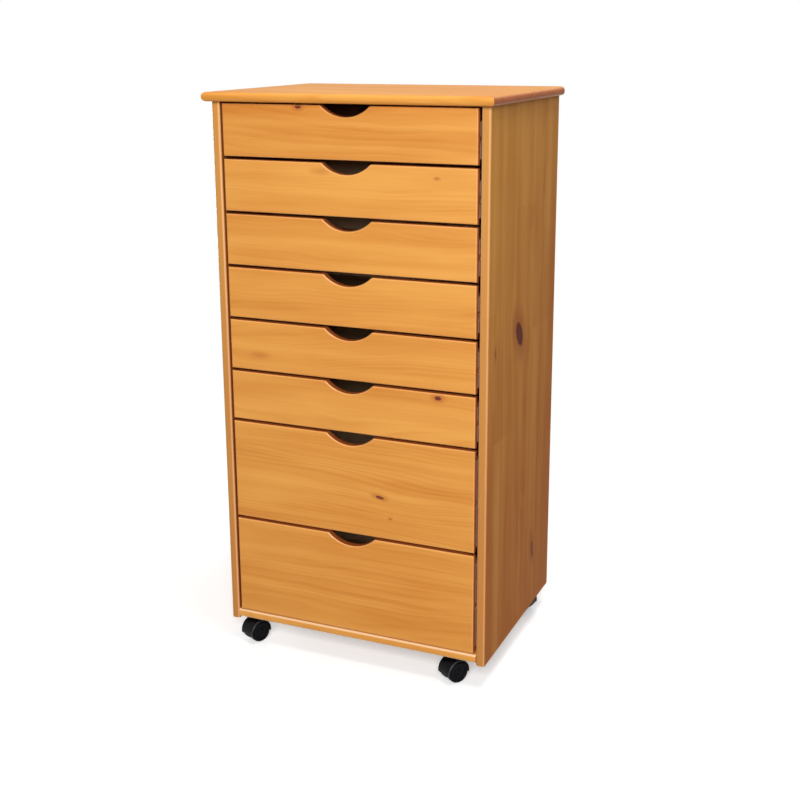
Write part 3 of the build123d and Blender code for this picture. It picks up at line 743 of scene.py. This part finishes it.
# %% Hood rim
RIM_WALL = (0.0210, 0.0230)
RIM_SPAN = (0.0150, 0.0168)
LIP_ANGLE = 10.0
RIM_STEPS = 60
OUTER_ROUNDING = 0.0016
INNER_ROUNDING = 0.0003
lip = math.radians(-LIP_ANGLE)
rim_radius = 0.5 * sum(RIM_WALL)
rim = lay_down("hood_rim", bpy.ops.mesh.primitive_plane_add,
               size=(0.5 * (RIM_SPAN[1] - RIM_SPAN[0]), 0.5 * (RIM_WALL[1] - RIM_WALL[0]), 1.0),
               location=(0.5 * sum(RIM_SPAN), rim_radius * math.cos(lip), rim_radius * math.sin(lip)),
               rotation=(lip, 0.0, 0.0))


def round_corner(wall, radius):
    """Round the corner of the section that lies outside, at one wall of the hood."""
    def at_wall(corner):
        return corner.co.x > RIM_SPAN[1] - NEAR and abs(from_axle(corner.co) - wall) < NEAR

    pick(rim, "VERT", at_wall)
    bpy.ops.mesh.bevel(offset=radius, segments=6, affect="VERTICES")


round_corner(RIM_WALL[1], OUTER_ROUNDING)
round_corner(RIM_WALL[0], INNER_ROUNDING)
bpy.ops.mesh.select_all(action="SELECT")
bpy.ops.mesh.spin(steps=RIM_STEPS, angle=math.radians(180.0 + 2.0 * LIP_ANGLE), center=(0.0, 0.0, 0.0),
                  axis=(-1.0, 0.0, 0.0))
finish_piece(rim, 0.0002, 2)
heights = [corner.co.z for corner in rim.data.vertices]
print("hood rim faces:", len(rim.data.polygons), "height:", round(min(heights), 4), round(max(heights), 4))

# %% [markdown]
# One wheel and one rim are copied to every axle. A copy faces outwards along the axle, so the left one
# is the right one turned half round. Its place is fixed into its own mesh, it takes the finish of its
# slot, and it moves with its body.

# %% Wheels and rims on the axles
def set_on_axle(master, name, joint, outward, shift):
    """A copy of a piece with its X axis along an axle, shifted outwards."""
    bpy.ops.object.select_all(action="DESELECT")
    master.select_set(True)
    bpy.context.view_layer.objects.active = master
    bpy.ops.object.duplicate()
    copy = bpy.context.object
    copy.name = name
    copy.location = Vector(joint["pos_m"]) + shift * outward
    copy.rotation_euler = (0.0, 0.0, math.atan2(outward.y, outward.x))
    bpy.ops.object.transform_apply(location=True, rotation=True, scale=True)
    return copy


for node, joint in spins.items():
    start, stop = reach_along_axle(node)
    side = 1.0 if start > 0.0 else -1.0
    outward = side * Vector(joint["axis"])
    tyre = set_on_axle(wheel, f"{node}_moulding", joint, outward, min(abs(start), abs(stop)))
    tyre.data.materials.append(wheel_plastic)
    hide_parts(node)
    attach(tyre, node)
    bead = set_on_axle(rim, f"{node}_hood_rim", joint, outward, 0.0)
    bead.data.materials.append(rim_plastic)
    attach(bead, joint["parent"])
for master in (wheel, rim):
    bpy.data.objects.remove(master)
print("wheels and rims set on axles:", len(spins))

# %% [markdown]
# The cart stands on a plain pale floor. Close to the cart the floor is a matt white that takes the
# soft shadow; further out it turns to an even white for the camera, so that the floor and the
# background meet with no edge. Rays that light the cart meet a darker floor, so that little light
# bounces up from it.

# %% Floor
FLOOR_RADIUS = 9.0
FLOOR_FADE = (0.5, 1.6)
FLOOR_LIFT = 0.36
FLOOR_SEEN = (0.90, 0.90, 0.90, 1.0)
FLOOR_BOUNCE = (0.22, 0.22, 0.22, 1.0)
WHITE = (1.0, 1.0, 1.0, 1.0)


def seen_share(tree):
    """One for a ray that shows a surface to the camera, straight or mirrored, and none for the others."""
    ray = tree.nodes.new("ShaderNodeLightPath").outputs
    mirrored = calc(tree, "MAXIMUM", ray["Is Glossy Ray"], ray["Is Transmission Ray"])
    return calc(tree, "MAXIMUM", ray["Is Camera Ray"], mirrored)


bpy.ops.object.select_all(action="DESELECT")
bpy.ops.mesh.primitive_circle_add(vertices=96, radius=FLOOR_RADIUS, fill_type="NGON",
                                  location=(0.0, 0.0, 0.0))
floor = bpy.context.object
floor.name = "floor"
floor_finish, floor_tree, floor_shader = start_finish("pale_floor")
floor_shader.inputs["Roughness"].default_value = 0.9
floor_place = floor_tree.nodes.new("ShaderNodeTexCoord").outputs["Object"]
from_middle = put(floor_tree, "ShaderNodeVectorMath", floor_place, operation="LENGTH").outputs["Value"]
seen = seen_share(floor_tree)
far = stretch(floor_tree, from_middle, *FLOOR_FADE, 0.0, 1.0)
feed(floor_tree, floor_shader.inputs["Base Color"], blend(floor_tree, seen, FLOOR_BOUNCE, FLOOR_SEEN))
lift = put(floor_tree, "ShaderNodeEmission", WHITE, calc(floor_tree, "MULTIPLY", seen, FLOOR_LIFT))
near_floor = put(floor_tree, "ShaderNodeAddShader", floor_shader.outputs[0], lift.outputs[0])
white = put(floor_tree, "ShaderNodeEmission", WHITE, 1.0)
floor_mix = put(floor_tree, "ShaderNodeMixShader", calc(floor_tree, "MULTIPLY", seen, far),
                near_floor.outputs[0], white.outputs[0])
floor_tree.links.new(floor_mix.outputs[0], floor_tree.nodes["Material Output"].inputs["Surface"])
floor.data.materials.append(floor_finish)
print("floor radius:", FLOOR_RADIUS)

# %% [markdown]
# The light is a white studio: a faint even sky, a large soft lamp beside the camera that makes the
# fronts the brightest upright faces and leaves the right side in half shade, a smaller lamp above for
# the top, and a wide one behind for the back and the left side. That one stays lower than the top
# board, which would otherwise mirror it. The camera sees plain white where it looks past the floor.

# %% Light
SKY_FILL = 0.12
world = bpy.data.worlds.new("white_studio")
bpy.context.scene.world = world
world.use_nodes = True
sky = world.node_tree
background = sky.nodes["Background"]
background.inputs["Color"].default_value = WHITE
sky_light = calc(sky, "MULTIPLY_ADD", seen_share(sky), 1.0 - SKY_FILL, SKY_FILL)
feed(sky, background.inputs["Strength"], sky_light)


def soft_lamp(name, place, aim, width, height, power):
    """Area lamp aimed at a point."""
    data = bpy.data.lights.new(name, "AREA")
    data.shape = "RECTANGLE"
    data.size = width
    data.size_y = height
    data.energy = power
    lamp = bpy.data.objects.new(name, data)
    bpy.context.scene.collection.objects.link(lamp)
    lamp.location = place
    lamp.rotation_euler = (Vector(aim) - Vector(place)).to_track_quat("-Z", "Y").to_euler()
    return lamp


lamps = [
    soft_lamp("camera_side_softbox", (1.13, -3.35, 2.1), (0.0, -0.1, 0.6), 1.6, 1.6, 135.0),
    soft_lamp("top_softbox", (0.5, -0.1, 3.2), (0.05, 0.0, 0.9), 1.2, 1.2, 36.0),
    soft_lamp("rear_softbox", (-2.1, 2.7, 0.56), (0.0, 0.1, 0.56), 2.6, 0.9, 85.0),
]
print("lamps:", [lamp.name for lamp in lamps])

# %% [markdown]
# The camera stands to the right of the front, a little above the top of the cart, and looks down at
# it. Its place, lens and small shift come from fitting the corners of the boards to the picture.

# %% Camera
PICTURE_PIXELS = 800
FOCAL_PIXELS = 1243.0
LENS_SHIFT = -0.06
CAMERA_PLACE = (0.904, -2.046, 1.119)
LOOK_DOWN = 14.39
TURN_LEFT = 23.39
ROLL = -0.30
camera_data = bpy.data.cameras.new("front_right_camera")
camera_data.sensor_width = 36.0
camera_data.lens = FOCAL_PIXELS * camera_data.sensor_width / PICTURE_PIXELS
camera_data.shift_y = LENS_SHIFT
camera = bpy.data.objects.new("front_right_camera", camera_data)
bpy.context.scene.collection.objects.link(camera)
camera.location = CAMERA_PLACE
aim = Euler((math.radians(90.0 - LOOK_DOWN), 0.0, math.radians(TURN_LEFT))).to_matrix()
camera.rotation_euler = (aim @ Matrix.Rotation(math.radians(ROLL), 3, "Z")).to_euler()
bpy.context.scene.camera = camera
bpy.context.scene.view_settings.view_transform = "Standard"
print("lens in mm:", round(camera_data.lens, 2))
